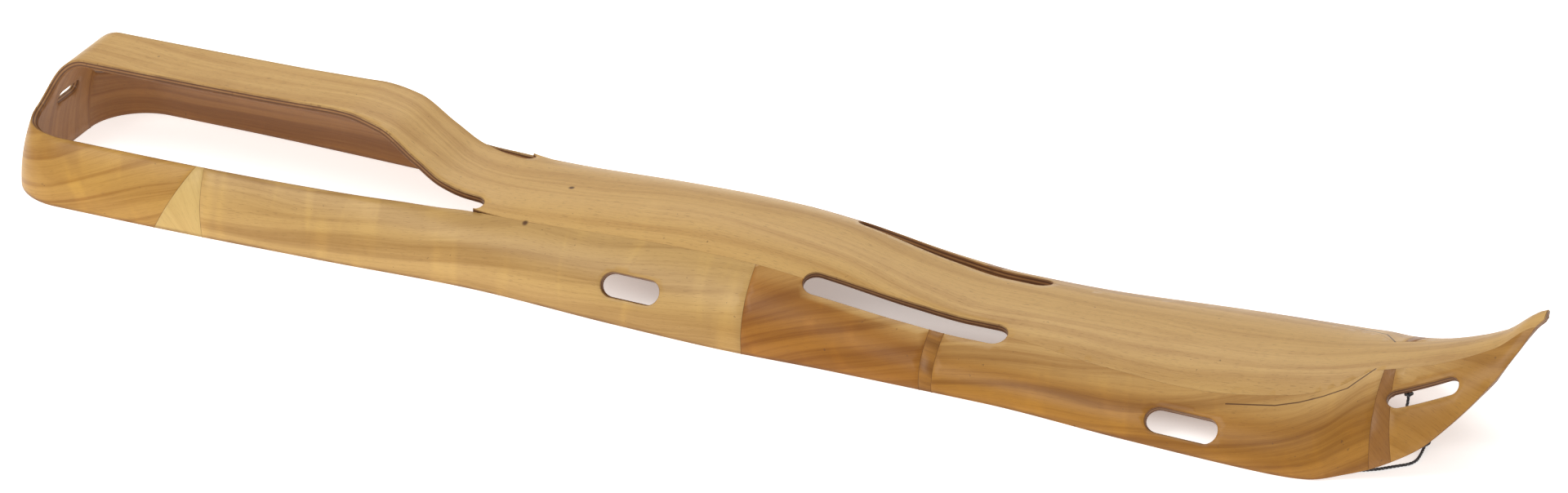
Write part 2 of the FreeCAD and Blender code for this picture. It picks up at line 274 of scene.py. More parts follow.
    def wall(self, u: float, z: float) -> Vector:
        """Point of the far side at path length u; u below 0 goes round the corner."""
        if u >= 0.0:
            x = self.corner_x + u
            return Vector((x, self.section_reach(x, z), z))
        turn = -u / self.corner_run * math.pi / 2.0
        reach = self.section_reach(self.corner_x, z) - self.corner_y
        depth = self.corner_in - self.end_inset(z)
        return Vector((self.corner_x - depth * math.sin(turn),
                       self.corner_y + reach * math.cos(turn), z))

    def wall_top(self, u: float) -> float:
        """Height of the side's upper boundary: rail edge, then shoulder seam."""
        if u < 0.0:
            z = self.rail_top
            for _ in range(6):
                z = self.fillet_top(self.wall(u, z).y)
            return z
        x = self.corner_x + u
        if x < self.tip_x - 30.0:
            return self.rail_top
        seam = self.section_height(x, through(self.seam, x))
        return self.rail_top + (seam - self.rail_top) * smooth((x - self.tip_x + 30.0) / 30.0)

    def wall_crown(self, u: float) -> float:
        """Height that the side's section would reach if it went on to the middle."""
        crown = self.spine_top if u < 0.0 else through(self.crown, self.corner_x + u)
        return max(crown, self.wall_top(u) + 0.01)

    def side(self, u: float, v: float) -> Vector:
        """Point of the far side at path length u and girth v, 0 at the floor."""
        crown = self.wall_crown(u)
        full = math.asin(min(1.0, self.wall_top(u) / crown))
        return self.wall(u, crown * math.sin(full * v / self.side_girth))

    def side_v(self, u: float, z: float) -> float:
        """Girth v of the side at path length u and height z."""
        crown = self.wall_crown(u)
        full = math.asin(min(1.0, self.wall_top(u) / crown))
        return self.side_girth * math.asin(max(-1.0, min(1.0, z / crown))) / full

    def depth_range(self, ply: Ply) -> Tuple[float, float]:
        """Depth of the outer and inner face of a ply below the outer surface."""
        return (ply.value * self.ply + self.glue / 2.0,
                (ply.value + 1) * self.ply - self.glue / 2.0)

    def pierce(self, start: Vector, out: Vector) -> Vector:
        """Where a line from start along out leaves the moulded section."""
        def beyond(t: float) -> float:
            """Above nought outside the section, below it inside."""
            p = start + out * t
            n = through(self.squareness, p.x)
            wide = abs(p.y) / through(self.half_width, p.x)
            return wide ** n + (max(0.0, p.z) / through(self.crown, p.x)) ** n - 1.0
        low, high = -30.0, 30.0
        for _ in range(44):
            mid = (low + high) / 2.0
            if beyond(mid) > 0.0:
                high = mid
            else:
                low = mid
        return start + out * low


@dataclass(frozen=True)
class Slot:
    """A round-ended strap slot on the far side, cut along the direction out."""

    name: str
    a: Tuple[float, float, float]
    b: Tuple[float, float, float]
    width: float
    out: Tuple[float, float, float]

    def outline(self, form: Form) -> List[Vector]:
        """Points of the slot's edge on the outer surface.

        Args:
            form: The moulded surface the slot is cut in.

        Returns:
            The closed edge, one point about every 1.5 mm.
        """
        out = Vector(self.out).normalized()
        a = Vector(self.a)
        b = Vector(self.b)
        along = (b - a) - out * (b - a).dot(out)
        length = along.length
        along.normalize()
        across = out.cross(along)
        r = self.width / 2.0
        mid = (a + b) / 2.0
        straight = length / 2.0 - r
        flat: List[Flat] = []
        turns = 14
        for end in (1.0, -1.0):
            for i in range(turns + 1):
                t = -math.pi / 2.0 + math.pi * i / turns
                flat.append((end * (straight + r * math.cos(t)), end * r * math.sin(t)))
        flat = spaced(flat + [flat[0]], 1.6)[:-1]
        return [form.pierce(mid + along * p + across * q, out) for p, q in flat]


SLOTS = (
    Slot("knee", (54.0, 44.7, 41.9), (193.0, 40.0, 32.0), 18.0, (0.0, 0.36, 0.93)),
    Slot("thigh_side", (-79.5, 70.5, 25.0), (-37.0, 71.5, 25.0), 16.8, (0.0, 0.84, 0.54)),
    Slot("calf_side", (302.0, 81.0, 17.5), (351.0, 83.0, 17.5), 17.0, (0.0, 0.83, 0.56)),
    Slot("heel", (448.0, 44.0, 42.5), (489.5, 33.0, 59.5), 13.0, (-0.25, 0.55, 0.8)))


# ---- flat patterns ---------------------------------------------------------------------------
@dataclass
class Pattern:
    """A flat triangulated pattern of one region, with its place on the form."""

    at: Callable[[float, float], Vector]
    outline: List[Flat]
    holes: List[List[Flat]]
    joints: List[Tuple[Flat, Flat]] = field(default_factory=list)
    spacing: float = 4.5
    flip: bool = False
    points: List[Flat] = field(default_factory=list)
    triangles: List[Tuple[int, int, int]] = field(default_factory=list)
    regions: List[int] = field(default_factory=list)
    places: List[Vector] = field(default_factory=list)
    normals: List[Vector] = field(default_factory=list)

    def cut(self) -> None:
        """Triangulates the region and leaves the holes out."""
        verts: List[Flat] = []
        edges: List[Tuple[int, int]] = []

        def add(loop: Sequence[Flat], closed: bool) -> None:
            """Adds one outline, or one open line, to the drawing."""
            first = len(verts)
            verts.extend(loop)
            count = len(loop)
            edges.extend((first + i, first + i + 1) for i in range(count - 1))
            if closed:
                edges.append((first + count - 1, first))

        add(self.outline, True)
        for hole in self.holes:
            add(hole, True)
        for a, b in self.joints:
            add(spaced([a, b], 2.5), False)
        tree = kdtree.KDTree(len(verts))
        for i, (x, y) in enumerate(verts):
            tree.insert((x, y, 0.0), i)
        tree.balance()
        xs = [p[0] for p in self.outline]
        ys = [p[1] for p in self.outline]
        row = 0
        y = min(ys)
        while y < max(ys):
            x = min(xs) + (self.spacing / 2.0 if row % 2 else 0.0)
            while x < max(xs):
                if tree.find((x, y, 0.0))[2] > self.spacing * 0.6 and inside((x, y), self.outline):
                    verts.append((x, y))
                x += self.spacing
            y += self.spacing * 0.866
            row += 1
        flat, _, faces = delaunay_2d_cdt([Vector(p) for p in verts], edges, [], 0, 1e-5)[:3]
        self.points = [(p.x, p.y) for p in flat]
        for face in faces:
            a, b, c = (self.points[i] for i in face)
            area = (b[0] - a[0]) * (c[1] - a[1]) - (b[1] - a[1]) * (c[0] - a[0])
            centre = ((a[0] + b[0] + c[0]) / 3.0, (a[1] + b[1] + c[1]) / 3.0)
            if abs(area) < 1e-7 or not inside(centre, self.outline):
                continue
            if any(inside(centre, hole) for hole in self.holes):
                continue
            order = tuple(face) if area > 0 else tuple(reversed(face))
            self.triangles.append(order)
            self.regions.append(self.region_of(centre))

    def region_of(self, centre: Flat) -> int:
        """How many joints lie to the left of a point."""
        count = 0
        for a, b in self.joints:
            t = (centre[1] - a[1]) / (b[1] - a[1])
            if centre[0] > a[0] + (b[0] - a[0]) * t:
                count += 1
        return count

    def settle(self, reference: Callable[[Vector], Vector]) -> None:
        """Finds every point's place and outward normal on the form.

        Args:
            reference: Gives, for a place, a direction that points roughly outward.
        """
        h = 0.25
        for u, v in self.points:
            p = self.at(u, v)
            a = u - h if abs(u) > h else (u - 2 * h if u < 0.0 else 0.0)
            du = self.at(a + 2 * h, v) - self.at(a, v)
            dv = self.at(u, v + h) - self.at(u, v - h)
            n = du.cross(dv).normalized()
            if n.dot(reference(p)) < 0.0:
                n = -n
            self.places.append(p)
            self.normals.append(n)
        self.flip = self._is_flipped()

    def _is_flipped(self) -> bool:
        """True if a triangle's own direction is against the outward normals."""
        score = 0
        for tri in self.triangles[::37]:
            a, b, c = (self.places[i] for i in tri)
            turned = (b - a).cross(c - a).dot(self.normals[tri[0]])
            score += 1 if turned < 0.0 else -1
        return score > 0


@dataclass
class SheetMaker:
    """Turns one region of a pattern into a closed veneer of real thickness."""

    pattern: Pattern
    is_joint: Callable[[Flat], bool]
    side: Side = Side.FAR

    def build(self, name: str, region: Optional[int], depths: Tuple[float, float],
              soft_outer: float, soft_inner: float, shared: bool = False) -> bpy.types.Object:
        """Builds the veneer's mesh object.

        Args:
            name: Object name.
            region: Region of the pattern, or None for all of it.
            depths: Depth of the outer and the inner face, in millimetres.
            soft_outer: Sanded radius of free outer edges, in millimetres.
            soft_inner: Sanded radius of free inner edges, in millimetres.
            shared: Not used.

        Returns:
            The new object, in metres.
        """
        pat = self.pattern
        tris = [t for t, r in zip(pat.triangles, pat.regions) if region is None or r == region]
        if pat.flip:
            tris = [(a, c, b) for a, b, c in tris]
        directed: Dict[Tuple[int, int], int] = {}
        for a, b, c in tris:
            for e in ((a, b), (b, c), (c, a)):
                directed[e] = 1
        rim = [e for e in directed if (e[1], e[0]) not in directed]
        used = sorted({i for t in tris for i in t})
        pull: Dict[int, Vector] = {}
        seam: Dict[int, float] = {}
        for a, b in rim:
            edge = pat.places[b] - pat.places[a]
            for i in (a, b):
                into = pat.normals[i].cross(edge).normalized()
                pull[i] = pull.get(i, Vector()) + into
            mid = ((pat.points[a][0] + pat.points[b][0]) / 2.0,
                   (pat.points[a][1] + pat.points[b][1]) / 2.0)
            joint = 0.05 if self.is_joint(mid) else 0.16 if self._on_joint(mid) else 0.0
            for i in (a, b):
                seam[i] = max(seam.get(i, 0.0), joint)
        d0, d1 = depths
        verts: List[Vector] = []
        uv_of: List[Flat] = []
        rings: List[Dict[int, int]] = [{}, {}, {}, {}]

        def place(i: int, depth: float, inset: float) -> int:
            """Adds one corner at a depth below the outer surface."""
            p = pat.places[i] - pat.normals[i] * depth
            if inset and i in pull:
                p = p + pull[i].normalized() * inset
            verts.append(Vector((p.x, p.y * self.side.value, p.z)) * MM)
            uv_of.append((pat.points[i][0] * MM, pat.points[i][1] * MM))
            return len(verts) - 1

        for i in used:
            soft = seam.get(i, 0.0) or soft_outer
            rings[0][i] = place(i, d0, soft if i in pull else 0.0)
        for i in used:
            soft = 0.05 if seam.get(i, 0.0) else soft_inner
            rings[3][i] = place(i, d1, soft if i in pull else 0.0)
        for i in pull:
            gap = 0.02 if seam[i] else 0.0
            top = seam[i] * 0.7 if seam[i] else soft_outer
            low = 0.05 if seam[i] else soft_inner
            rings[1][i] = place(i, d0 + top, gap)
            rings[2][i] = place(i, d1 - low, gap)
        faces = [(rings[0][a], rings[0][b], rings[0][c]) for a, b, c in tris]
        faces += [(rings[3][a], rings[3][c], rings[3][b]) for a, b, c in tris]
        walls = len(faces)
        for a, b in rim:
            for upper, lower in zip(rings, rings[1:]):
                faces.append((upper[b], upper[a], lower[a], lower[b]))
        if self.side is Side.NEAR:
            faces = [tuple(reversed(f)) for f in faces]
        mesh = bpy.data.meshes.new(name)
        mesh.from_pydata(verts, [], faces)
        layer = mesh.uv_layers.new(name="Sheet")
        for loop in mesh.loops:
            layer.data[loop.index].uv = uv_of[loop.vertex_index]
        mark = mesh.attributes.new("cut_edge", "FLOAT", "FACE")
        for i in range(walls, len(faces)):
            mark.data[i].value = 1.0
        for poly in mesh.polygons:
            poly.use_smooth = True
        mesh.update()
        self._sharpen(mesh)
        obj = bpy.data.objects.new(name, mesh)
        bpy.context.scene.collection.objects.link(obj)
        return obj

    def _on_joint(self, mid: Flat) -> bool:
        """True if an edge's middle lies on a joint inside the pattern."""
        for a, b in self.pattern.joints:
            t = (mid[1] - a[1]) / (b[1] - a[1])
            if -0.01 < t < 1.01 and abs(mid[0] - a[0] - (b[0] - a[0]) * t) < 0.05:
                return True
        return False

    @staticmethod
    def _sharpen(mesh: bpy.types.Mesh) -> None:
        """Keeps the corners at the bottom of the sanded edges crisp."""
        mesh.set_sharp_from_angle(angle=math.radians(50.0))


# ---- shader building ------------------------------------------------------------------------
class Tree:
    """A short way to write node trees."""

    def __init__(self, tree: bpy.types.NodeTree) -> None:
        """Keeps the tree that nodes are added to."""
        self.tree = tree

    def add(self, kind: str, **values: object) -> bpy.types.Node:
        """Adds a node and sets its plain properties."""
        node = self.tree.nodes.new(kind)
        for key, value in values.items():
            setattr(node, key, value)
        return node

    def join(self, source: bpy.types.NodeSocket, target: bpy.types.NodeSocket) -> None:
        """Links two sockets."""
        self.tree.links.new(source, target)

    def put(self, value: object, socket: bpy.types.NodeSocket) -> None:
        """Links or sets a socket, whichever the value is."""
        if isinstance(value, bpy.types.NodeSocket):
            self.join(value, socket)
        else:
            socket.default_value = value

    def sum(self, kind: str, a: object, b: object = 0.0, c: object = 0.0,
            clamp: bool = False) -> bpy.types.NodeSocket:
        """A maths node's result."""
        node = self.add("ShaderNodeMath", operation=kind, use_clamp=clamp)
        for value, socket in zip((a, b, c), node.inputs):
            self.put(value, socket)
        return node.outputs[0]

    def mix(self, factor: object, a: object, b: object,
            blend: str = "MIX") -> bpy.types.NodeSocket:
        """A colour mix."""
        node = self.add("ShaderNodeMix", data_type="RGBA", blend_type=blend)
        self.put(factor, node.inputs[0])
        self.put(a, node.inputs[6])
        self.put(b, node.inputs[7])
        return node.outputs[2]

    def span(self, value: object, low: float, high: float, to_low: float = 0.0,
             to_high: float = 1.0) -> bpy.types.NodeSocket:
        """Maps a range smoothly onto another."""
        node = self.add("ShaderNodeMapRange", interpolation_type="SMOOTHSTEP")
        for item, socket in zip((value, low, high, to_low, to_high), node.inputs):
            self.put(item, socket)
        return node.outputs[0]

    def noise(self, vector: object, scale: float, detail: float = 3.0, rough: float = 0.55,
              warp: float = 0.0) -> bpy.types.NodeSocket:
        """A noise texture's value."""
        node = self.add("ShaderNodeTexNoise")
        self.put(vector, node.inputs["Vector"])
        node.inputs["Scale"].default_value = scale
        node.inputs["Detail"].default_value = detail
        node.inputs["Roughness"].default_value = rough
        node.inputs["Distortion"].default_value = warp
        return node.outputs[0]

    def stretch(self, vector: object, scale: Tuple[float, float, float],
                turn: object = 0.0, shift: object = 0.0) -> bpy.types.NodeSocket:
        """Turns a vector in its plane, moves it and scales its axes."""
        rotate = self.add("ShaderNodeVectorRotate", rotation_type="Z_AXIS")
        self.put(vector, rotate.inputs["Vector"])
        self.put(turn, rotate.inputs["Angle"])
        offset = self.add("ShaderNodeCombineXYZ")
        self.put(shift, offset.inputs[0])
        self.put(shift, offset.inputs[1])
        moved = self.add("ShaderNodeVectorMath", operation="ADD")
        self.join(rotate.outputs[0], moved.inputs[0])
        self.join(offset.outputs[0], moved.inputs[1])
        scaled = self.add("ShaderNodeVectorMath", operation="MULTIPLY")
        self.join(moved.outputs[0], scaled.inputs[0])
        scaled.inputs[1].default_value = scale
        return scaled.outputs[0]


def new_group(name: str, inputs: Sequence[Tuple[str, str, object]],
              outputs: Sequence[Tuple[str, str]]) -> Tuple[Tree, bpy.types.Node, bpy.types.Node]:
    """Makes an empty shader group.

    Args:
        name: The group's name.
        inputs: Name, socket type and default of each input.
        outputs: Name and socket type of each output.

    Returns:
        The tree with its input and output nodes.
    """
    group = bpy.data.node_groups.new(name, "ShaderNodeTree")
    for label, kind, default in inputs:
        socket = group.interface.new_socket(name=label, in_out="INPUT", socket_type=kind)
        if default is not None:
            socket.default_value = default
    for label, kind in outputs:
        group.interface.new_socket(name=label, in_out="OUTPUT", socket_type=kind)
    tree = Tree(group)
    return tree, tree.add("NodeGroupInput"), tree.add("NodeGroupOutput")


def veneer_group() -> bpy.types.NodeTree:
    """Sliced veneer: growth bands, fine streaks, pores, a ripple figure painted as sheen, and stains.
    """
    tree, given, result = new_group(
        "veneer_figure",
        (("Sheet", "NodeSocketVector", None),
         ("Pale", "NodeSocketColor", (0.6, 0.35, 0.15, 1.0)),
         ("Deep", "NodeSocketColor", (0.4, 0.2, 0.07, 1.0)),
         ("Angle", "NodeSocketFloat", 0.0), ("Shift", "NodeSocketFloat", 0.0),
         ("Bands", "NodeSocketFloat", 0.5), ("Ripple", "NodeSocketFloat", 0.3),
         ("Pores", "NodeSocketFloat", 0.4), ("Stain", "NodeSocketFloat", 0.3)),
        (("Colour", "NodeSocketColor"), ("Roughness", "NodeSocketFloat"),
         ("Height", "NodeSocketFloat")))
    sheet = given.outputs["Sheet"]
    angle = given.outputs["Angle"]
    shift = given.outputs["Shift"]
    wander = tree.noise(tree.stretch(sheet, (3.0, 9.0, 1.0), angle, shift), 1.0, 2.0, 0.5)
    bend = tree.add("ShaderNodeCombineXYZ")
    tree.join(tree.sum("MULTIPLY_ADD", wander, 0.075, -0.0375), bend.inputs[1])
    warped = tree.add("ShaderNodeVectorMath", operation="ADD")
    tree.join(tree.stretch(sheet, (1.0, 1.0, 1.0), angle, shift), warped.inputs[0])
    tree.join(bend.outputs[0], warped.inputs[1])
    flow = warped.outputs[0]
    bands = tree.noise(tree.stretch(flow, (2.2, 75.0, 1.0)), 1.0, 4.0, 0.6, 0.25)
    streaks = tree.noise(tree.stretch(flow, (9.0, 520.0, 1.0)), 1.0, 3.0, 0.6)
    fibre = tree.noise(tree.stretch(flow, (40.0, 2600.0, 1.0)), 1.0, 2.0, 0.6)
    pores = tree.noise(tree.stretch(flow, (150.0, 3200.0, 1.0)), 1.0, 1.0, 0.5)
    ripple = tree.noise(tree.stretch(flow, (42.0, 13.0, 1.0)), 1.0, 2.0, 0.55, 0.6)
    blotch = tree.noise(tree.stretch(sheet, (9.0, 14.0, 1.0), 0.0, shift), 1.0, 4.0, 0.6)
    deep = tree.sum("MULTIPLY", tree.span(bands, 0.40, 0.66), given.outputs["Bands"])
    deep = tree.sum("ADD", deep, tree.sum("MULTIPLY", tree.span(streaks, 0.46, 0.74), 0.30))
    deep = tree.sum("ADD", deep, tree.sum("MULTIPLY", tree.span(fibre, 0.45, 0.75), 0.16),
                    clamp=True)
    colour = tree.mix(deep, given.outputs["Pale"], given.outputs["Deep"])
    dots = tree.sum("MULTIPLY", tree.span(pores, 0.62, 0.72), given.outputs["Pores"])
    colour = tree.mix(dots, colour, (0.13, 0.055, 0.02, 1.0))
    # Painted sheen: the ripple lightens the colour toward a pale warm tone, a painted highlight
    # across the grain; it also lowers the roughness.
    shine = tree.sum("MULTIPLY", tree.span(ripple, 0.5, 0.78), given.outputs["Ripple"])
    colour = tree.mix(tree.sum("MULTIPLY", shine, 0.35), colour, (1.0, 0.88, 0.66, 1.0),
                      "SOFT_LIGHT")
    dull = tree.sum("MULTIPLY", tree.span(blotch, 0.52, 0.8), given.outputs["Stain"])
    colour = tree.mix(dull, colour, (0.55, 0.40, 0.28, 1.0), "MULTIPLY")
    tree.join(colour, result.inputs["Colour"])
    rough = tree.sum("MULTIPLY_ADD", shine, -0.10, 0.44)
    rough = tree.sum("ADD", rough, tree.sum("MULTIPLY", dots, 0.25))
    rough = tree.sum("ADD", rough, tree.sum("MULTIPLY", dull, 0.10), clamp=True)
    tree.join(rough, result.inputs["Roughness"])
    high = tree.sum("MULTIPLY_ADD", dots, -0.8, tree.sum("MULTIPLY", fibre, 0.35))
    tree.join(high, result.inputs["Height"])
    return tree.tree


# small dark knots in the veneer, and the dart cut at the heel, in millimetres
KNOT_EYES = ((-133.4, -2.5, 0.0), (-146.2, -46.1, 0.0))
HEEL_DART = ((350.0, 63.5), (380.5, 59.1), (394.2, 54.1), (408.0, 46.8), (420.5, 38.7),
             (432.0, 19.2))


def dart_line(tree: Tree, place: bpy.types.NodeSocket, start: Tuple[float, float],
              end: Tuple[float, float]) -> bpy.types.NodeSocket:
    """Mask of one straight run of the glued dart, seen from above.

    Args:
        tree: Tree of the group.
        place: Position with the height left out.
        start: First end in millimetres.
        end: Second end in millimetres.

    Returns:
        A socket that is one on the line and nought away from it.
    """
    first = Vector((*start, 0.0)) * MM
    run = Vector((*end, 0.0)) * MM - first
    near = tree.add("ShaderNodeVectorMath", operation="SUBTRACT")
    tree.join(place, near.inputs[0])
    near.inputs[1].default_value = first
    along = tree.add("ShaderNodeVectorMath", operation="DOT_PRODUCT")
    tree.join(near.outputs[0], along.inputs[0])
    along.inputs[1].default_value = run / run.length_squared
    share = tree.sum("MULTIPLY", along.outputs["Value"], 1.0, clamp=True)
    spot = tree.add("ShaderNodeVectorMath", operation="SCALE")
    spot.inputs[0].default_value = run
    tree.join(share, spot.inputs["Scale"])
    away = tree.add("ShaderNodeVectorMath", operation="DISTANCE")
    tree.join(near.outputs[0], away.inputs[0])
    tree.join(spot.outputs[0], away.inputs[1])
    return tree.span(away.outputs["Value"], 0.00025, 0.0007, 1.0, 0.0)


def mark_mask(tree: Tree, place: bpy.types.NodeSocket) -> bpy.types.NodeSocket:
    """Mask of the small knots and of the heel dart on both sides.

    Args:
        tree: Tree of the group.
        place: Position in metres.

    Returns:
        A socket that is one on the marks.
    """
    level = tree.stretch(place, (1.0, 1.0, 0.0))
    spots = None
    for spot in KNOT_EYES:
        away = tree.add("ShaderNodeVectorMath", operation="DISTANCE")
        tree.join(level, away.inputs[0])
        away.inputs[1].default_value = Vector(spot) * MM
        eye = tree.span(away.outputs["Value"], 0.0008, 0.0028, 1.0, 0.0)
        spots = eye if spots is None else tree.sum("MAXIMUM", spots, eye)
    apart = tree.add("ShaderNodeSeparateXYZ")
    tree.join(place, apart.inputs[0])
    flat = tree.add("ShaderNodeCombineXYZ")
    tree.join(apart.outputs[0], flat.inputs[0])
    tree.join(tree.sum("ABSOLUTE", apart.outputs[1]), flat.inputs[1])
    for start, end in zip(HEEL_DART, HEEL_DART[1:]):
        line = dart_line(tree, flat.outputs[0], start, end)
        spots = tree.sum("MAXIMUM", spots, line)
    return spots


def wear_group() -> bpy.types.NodeTree:
    """Grime and handling marks that darken cut edges and dot the faces, and a darker band in the
    lowest 3 mm above the floor.
    """
    tree, given, result = new_group(
        "handling_wear",
        (("Colour", "NodeSocketColor", (0.5, 0.3, 0.1, 1.0)),
         ("Edge", "NodeSocketColor", (0.2, 0.1, 0.04, 1.0)),
         ("Amount", "NodeSocketFloat", 0.6), ("Marks", "NodeSocketFloat", 0.0)),
        (("Colour", "NodeSocketColor"), ("Mask", "NodeSocketFloat")))
    place = tree.add("ShaderNodeTexCoord").outputs["Object"]
    cut = tree.add("ShaderNodeAttribute", attribute_name="cut_edge").outputs["Fac"]
    grime = tree.span(tree.noise(place, 34.0, 4.0, 0.65), 0.35, 0.7, 0.45, 1.0)
    height = tree.add("ShaderNodeSeparateXYZ")
    tree.join(place, height.inputs[0])
    # A darker band along the lowest 3 mm above the floor, in the edge colour.
    foot = tree.span(height.outputs[2], 0.0008, 0.0030, 0.85, 0.0)
    cut = tree.sum("MAXIMUM", cut, foot)
    mask = tree.sum("MULTIPLY", tree.sum("MULTIPLY", cut, grime), given.outputs["Amount"])
    specks = tree.span(tree.noise(place, 260.0, 2.0, 0.5), 0.735, 0.765)
    colour = tree.mix(mask, given.outputs["Colour"], given.outputs["Edge"])
    colour = tree.mix(tree.sum("MULTIPLY", specks, 0.45), colour, (0.10, 0.05, 0.025, 1.0))
    spots = mark_mask(tree, place)
    spots = tree.sum("MULTIPLY", spots, given.outputs["Marks"])
    colour = tree.mix(spots, colour, (0.085, 0.032, 0.012, 1.0))
    tree.join(colour, result.inputs["Colour"])
    tree.join(mask, result.inputs["Mask"])
    return tree.tree


@dataclass(frozen=True)
class VeneerFinish:
    """One sheet of lacquered veneer."""

    name: str
    pale: Tuple[float, float, float]
    deep: Tuple[float, float, float]
    angle: float = 0.0
    shift: float = 0.0
    bands: float = 0.5
    ripple: float = 0.3
    pores: float = 0.35
    stain: float = 0.3
    edge: Tuple[float, float, float] = (0.17, 0.072, 0.026)
    edge_amount: float = 0.8
    coat: float = 0.12
    marks: float = 0.0
    # Painted light: where the surface faces up, the colours blend toward the lighter pair below, a
    # painted lit top.
    lit_top: float = 0.0
    lit_top_pale: Tuple[float, float, float] = (0.66, 0.405, 0.145)
    lit_top_deep: Tuple[float, float, float] = (0.47, 0.245, 0.070)

    def material(self, figure: bpy.types.NodeTree, wear: bpy.types.NodeTree
                 ) -> bpy.types.Material:
        """Builds the material.

        Args:
            figure: The veneer figure group.
            wear: The handling wear group.

        Returns:
            The finished material.
        """
        made = bpy.data.materials.new(self.name)
        made.use_nodes = True
        made.node_tree.nodes.clear()
        tree = Tree(made.node_tree)
        sheet = tree.add("ShaderNodeUVMap", uv_map="Sheet").outputs[0]
        grain = tree.add("ShaderNodeGroup", node_tree=figure)
        tree.join(sheet, grain.inputs["Sheet"])
        grain.inputs["Pale"].default_value = (*self.pale, 1.0)
        grain.inputs["Deep"].default_value = (*self.deep, 1.0)
        # Painted light: faces that point up get lighter colours than the sides, as if lit from above.
        if self.lit_top:
            facing = tree.add("ShaderNodeSeparateXYZ")
            tree.join(tree.add("ShaderNodeTexCoord").outputs["Normal"], facing.inputs[0])
            up = tree.span(facing.outputs[2], 0.80, 0.98, 0.0, self.lit_top)
            for label, low, high in (("Pale", self.pale, self.lit_top_pale),
                                     ("Deep", self.deep, self.lit_top_deep)):
                tree.join(tree.mix(up, (*low, 1.0), (*high, 1.0)), grain.inputs[label])
        grain.inputs["Angle"].default_value = math.radians(self.angle)
        grain.inputs["Shift"].default_value = self.shift
        grain.inputs["Bands"].default_value = self.bands
        grain.inputs["Ripple"].default_value = self.ripple
        grain.inputs["Pores"].default_value = self.pores
        grain.inputs["Stain"].default_value = self.stain
        worn = tree.add("ShaderNodeGroup", node_tree=wear)
        tree.join(grain.outputs["Colour"], worn.inputs["Colour"])
        worn.inputs["Edge"].default_value = (*self.edge, 1.0)
        worn.inputs["Amount"].default_value = self.edge_amount
        worn.inputs["Marks"].default_value = self.marks
        shader = tree.add("ShaderNodeBsdfPrincipled")
        tree.join(worn.outputs["Colour"], shader.inputs["Base Color"])
        tree.join(grain.outputs["Roughness"], shader.inputs["Roughness"])
        shader.inputs["Coat Weight"].default_value = self.coat
        shader.inputs["Coat Roughness"].default_value = 0.28
        shader.inputs["Specular IOR Level"].default_value = 0.24
        bump = tree.add("ShaderNodeBump")
        bump.inputs["Strength"].default_value = 0.35
        bump.inputs["Distance"].default_value = 0.00012
        tree.join(grain.outputs["Height"], bump.inputs["Height"])
        tree.join(bump.outputs[0], shader.inputs["Normal"])
        out = tree.add("ShaderNodeOutputMaterial")
        tree.join(shader.outputs[0], out.inputs["Surface"])
        return made


BACK = VeneerFinish("honey_back", (0.67, 0.410, 0.142), (0.47, 0.245, 0.070), shift=0.3,
                    bands=0.55, ripple=0.28, pores=0.5, marks=0.9)
RAIL = VeneerFinish("honey_rail", (0.54, 0.295, 0.070), (0.34, 0.150, 0.026), -24.0, 1.7,
                    0.85, 0.9, 0.30, 0.40)
PALE = VeneerFinish("pale_insert", (0.67, 0.455, 0.165), (0.53, 0.320, 0.100), 62.0, 3.1,
                    0.4, 0.3, 0.2, 0.1)
THIGH = VeneerFinish("honey_thigh", (0.59, 0.365, 0.130), (0.40, 0.220, 0.066), -5.0, 5.2,
                     0.8, 0.9, 0.35, 0.35, marks=0.9)
CALF = VeneerFinish("amber_calf", (0.41, 0.170, 0.024), (0.26, 0.090, 0.008), -27.0, 7.9,
                    0.85, 1.0, 0.3, 0.4, lit_top=0.9)
STRIP = VeneerFinish("amber_strip", (0.39, 0.170, 0.030), (0.22, 0.085, 0.012), 8.0, 9.4,
                     0.7, 0.4, 0.5, 0.35)
FOOT = VeneerFinish("honey_foot", (0.45, 0.205, 0.031), (0.28, 0.110, 0.012), -14.0, 11.3,
                    0.9, 1.0, 0.35, 0.4, marks=0.9, lit_top=0.9)
GORE = VeneerFinish("brown_gore", (0.34, 0.150, 0.035), (0.21, 0.080, 0.014), 38.0, 13.6,
                    0.6, 0.5, 0.5, 0.4)
TOE = VeneerFinish("honey_toe", (0.47, 0.235, 0.050), (0.33, 0.145, 0.022), 22.0, 15.2,
                   0.7, 0.6, 0.35, 0.35, lit_top=0.9)
CROSS = VeneerFinish("cross_ply", (0.17, 0.070, 0.024), (0.09, 0.035, 0.012), 90.0, 17.0,
                     0.6, 0.0, 0.6, 0.2, (0.11, 0.045, 0.018), 0.9, 0.05)
CORE = VeneerFinish("core_ply", (0.42, 0.220, 0.080), (0.29, 0.130, 0.042), 0.0, 19.0,
                    0.5, 0.0, 0.5, 0.2, (0.25, 0.110, 0.040), 0.9, 0.05)
LINING = VeneerFinish("lining_ply", (0.33, 0.150, 0.042), (0.21, 0.082, 0.021), 2.0, 21.0,
                      0.75, 0.3, 0.5, 0.5, (0.15, 0.062, 0.025), 0.7, 0.06)


